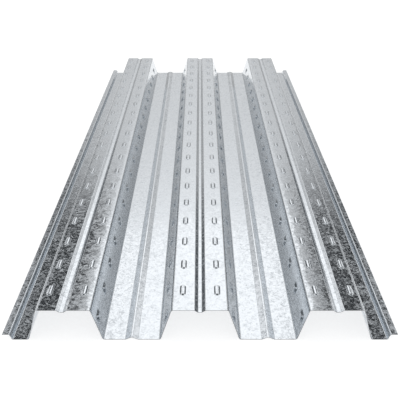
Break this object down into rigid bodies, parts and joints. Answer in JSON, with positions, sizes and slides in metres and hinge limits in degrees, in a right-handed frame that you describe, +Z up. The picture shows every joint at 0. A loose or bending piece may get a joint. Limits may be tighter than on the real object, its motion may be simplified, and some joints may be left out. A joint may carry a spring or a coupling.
{
  "type": "steel floor decking sheet",
  "caption": "Trapezoidal galvanised steel floor decking sheet with grooved crests, ribbed valleys, embossed webs and lap lips at both sides.",
  "frame": {"origin": "middle of the sheet's underside, in the plane that the valleys rest on", "axes": "+X across the ribs, +Y along the sheet, +Z up through the crests"},
  "size_m": [0.8816, 2.4, 0.0792],
  "materials": {
    "galvanised_steel": "hot-dip zinc with a spangle, satin"
  },
  "bodies": {
    "root": {"decking_sheet": "galvanised_steel"}
  },
  "joints": []
}
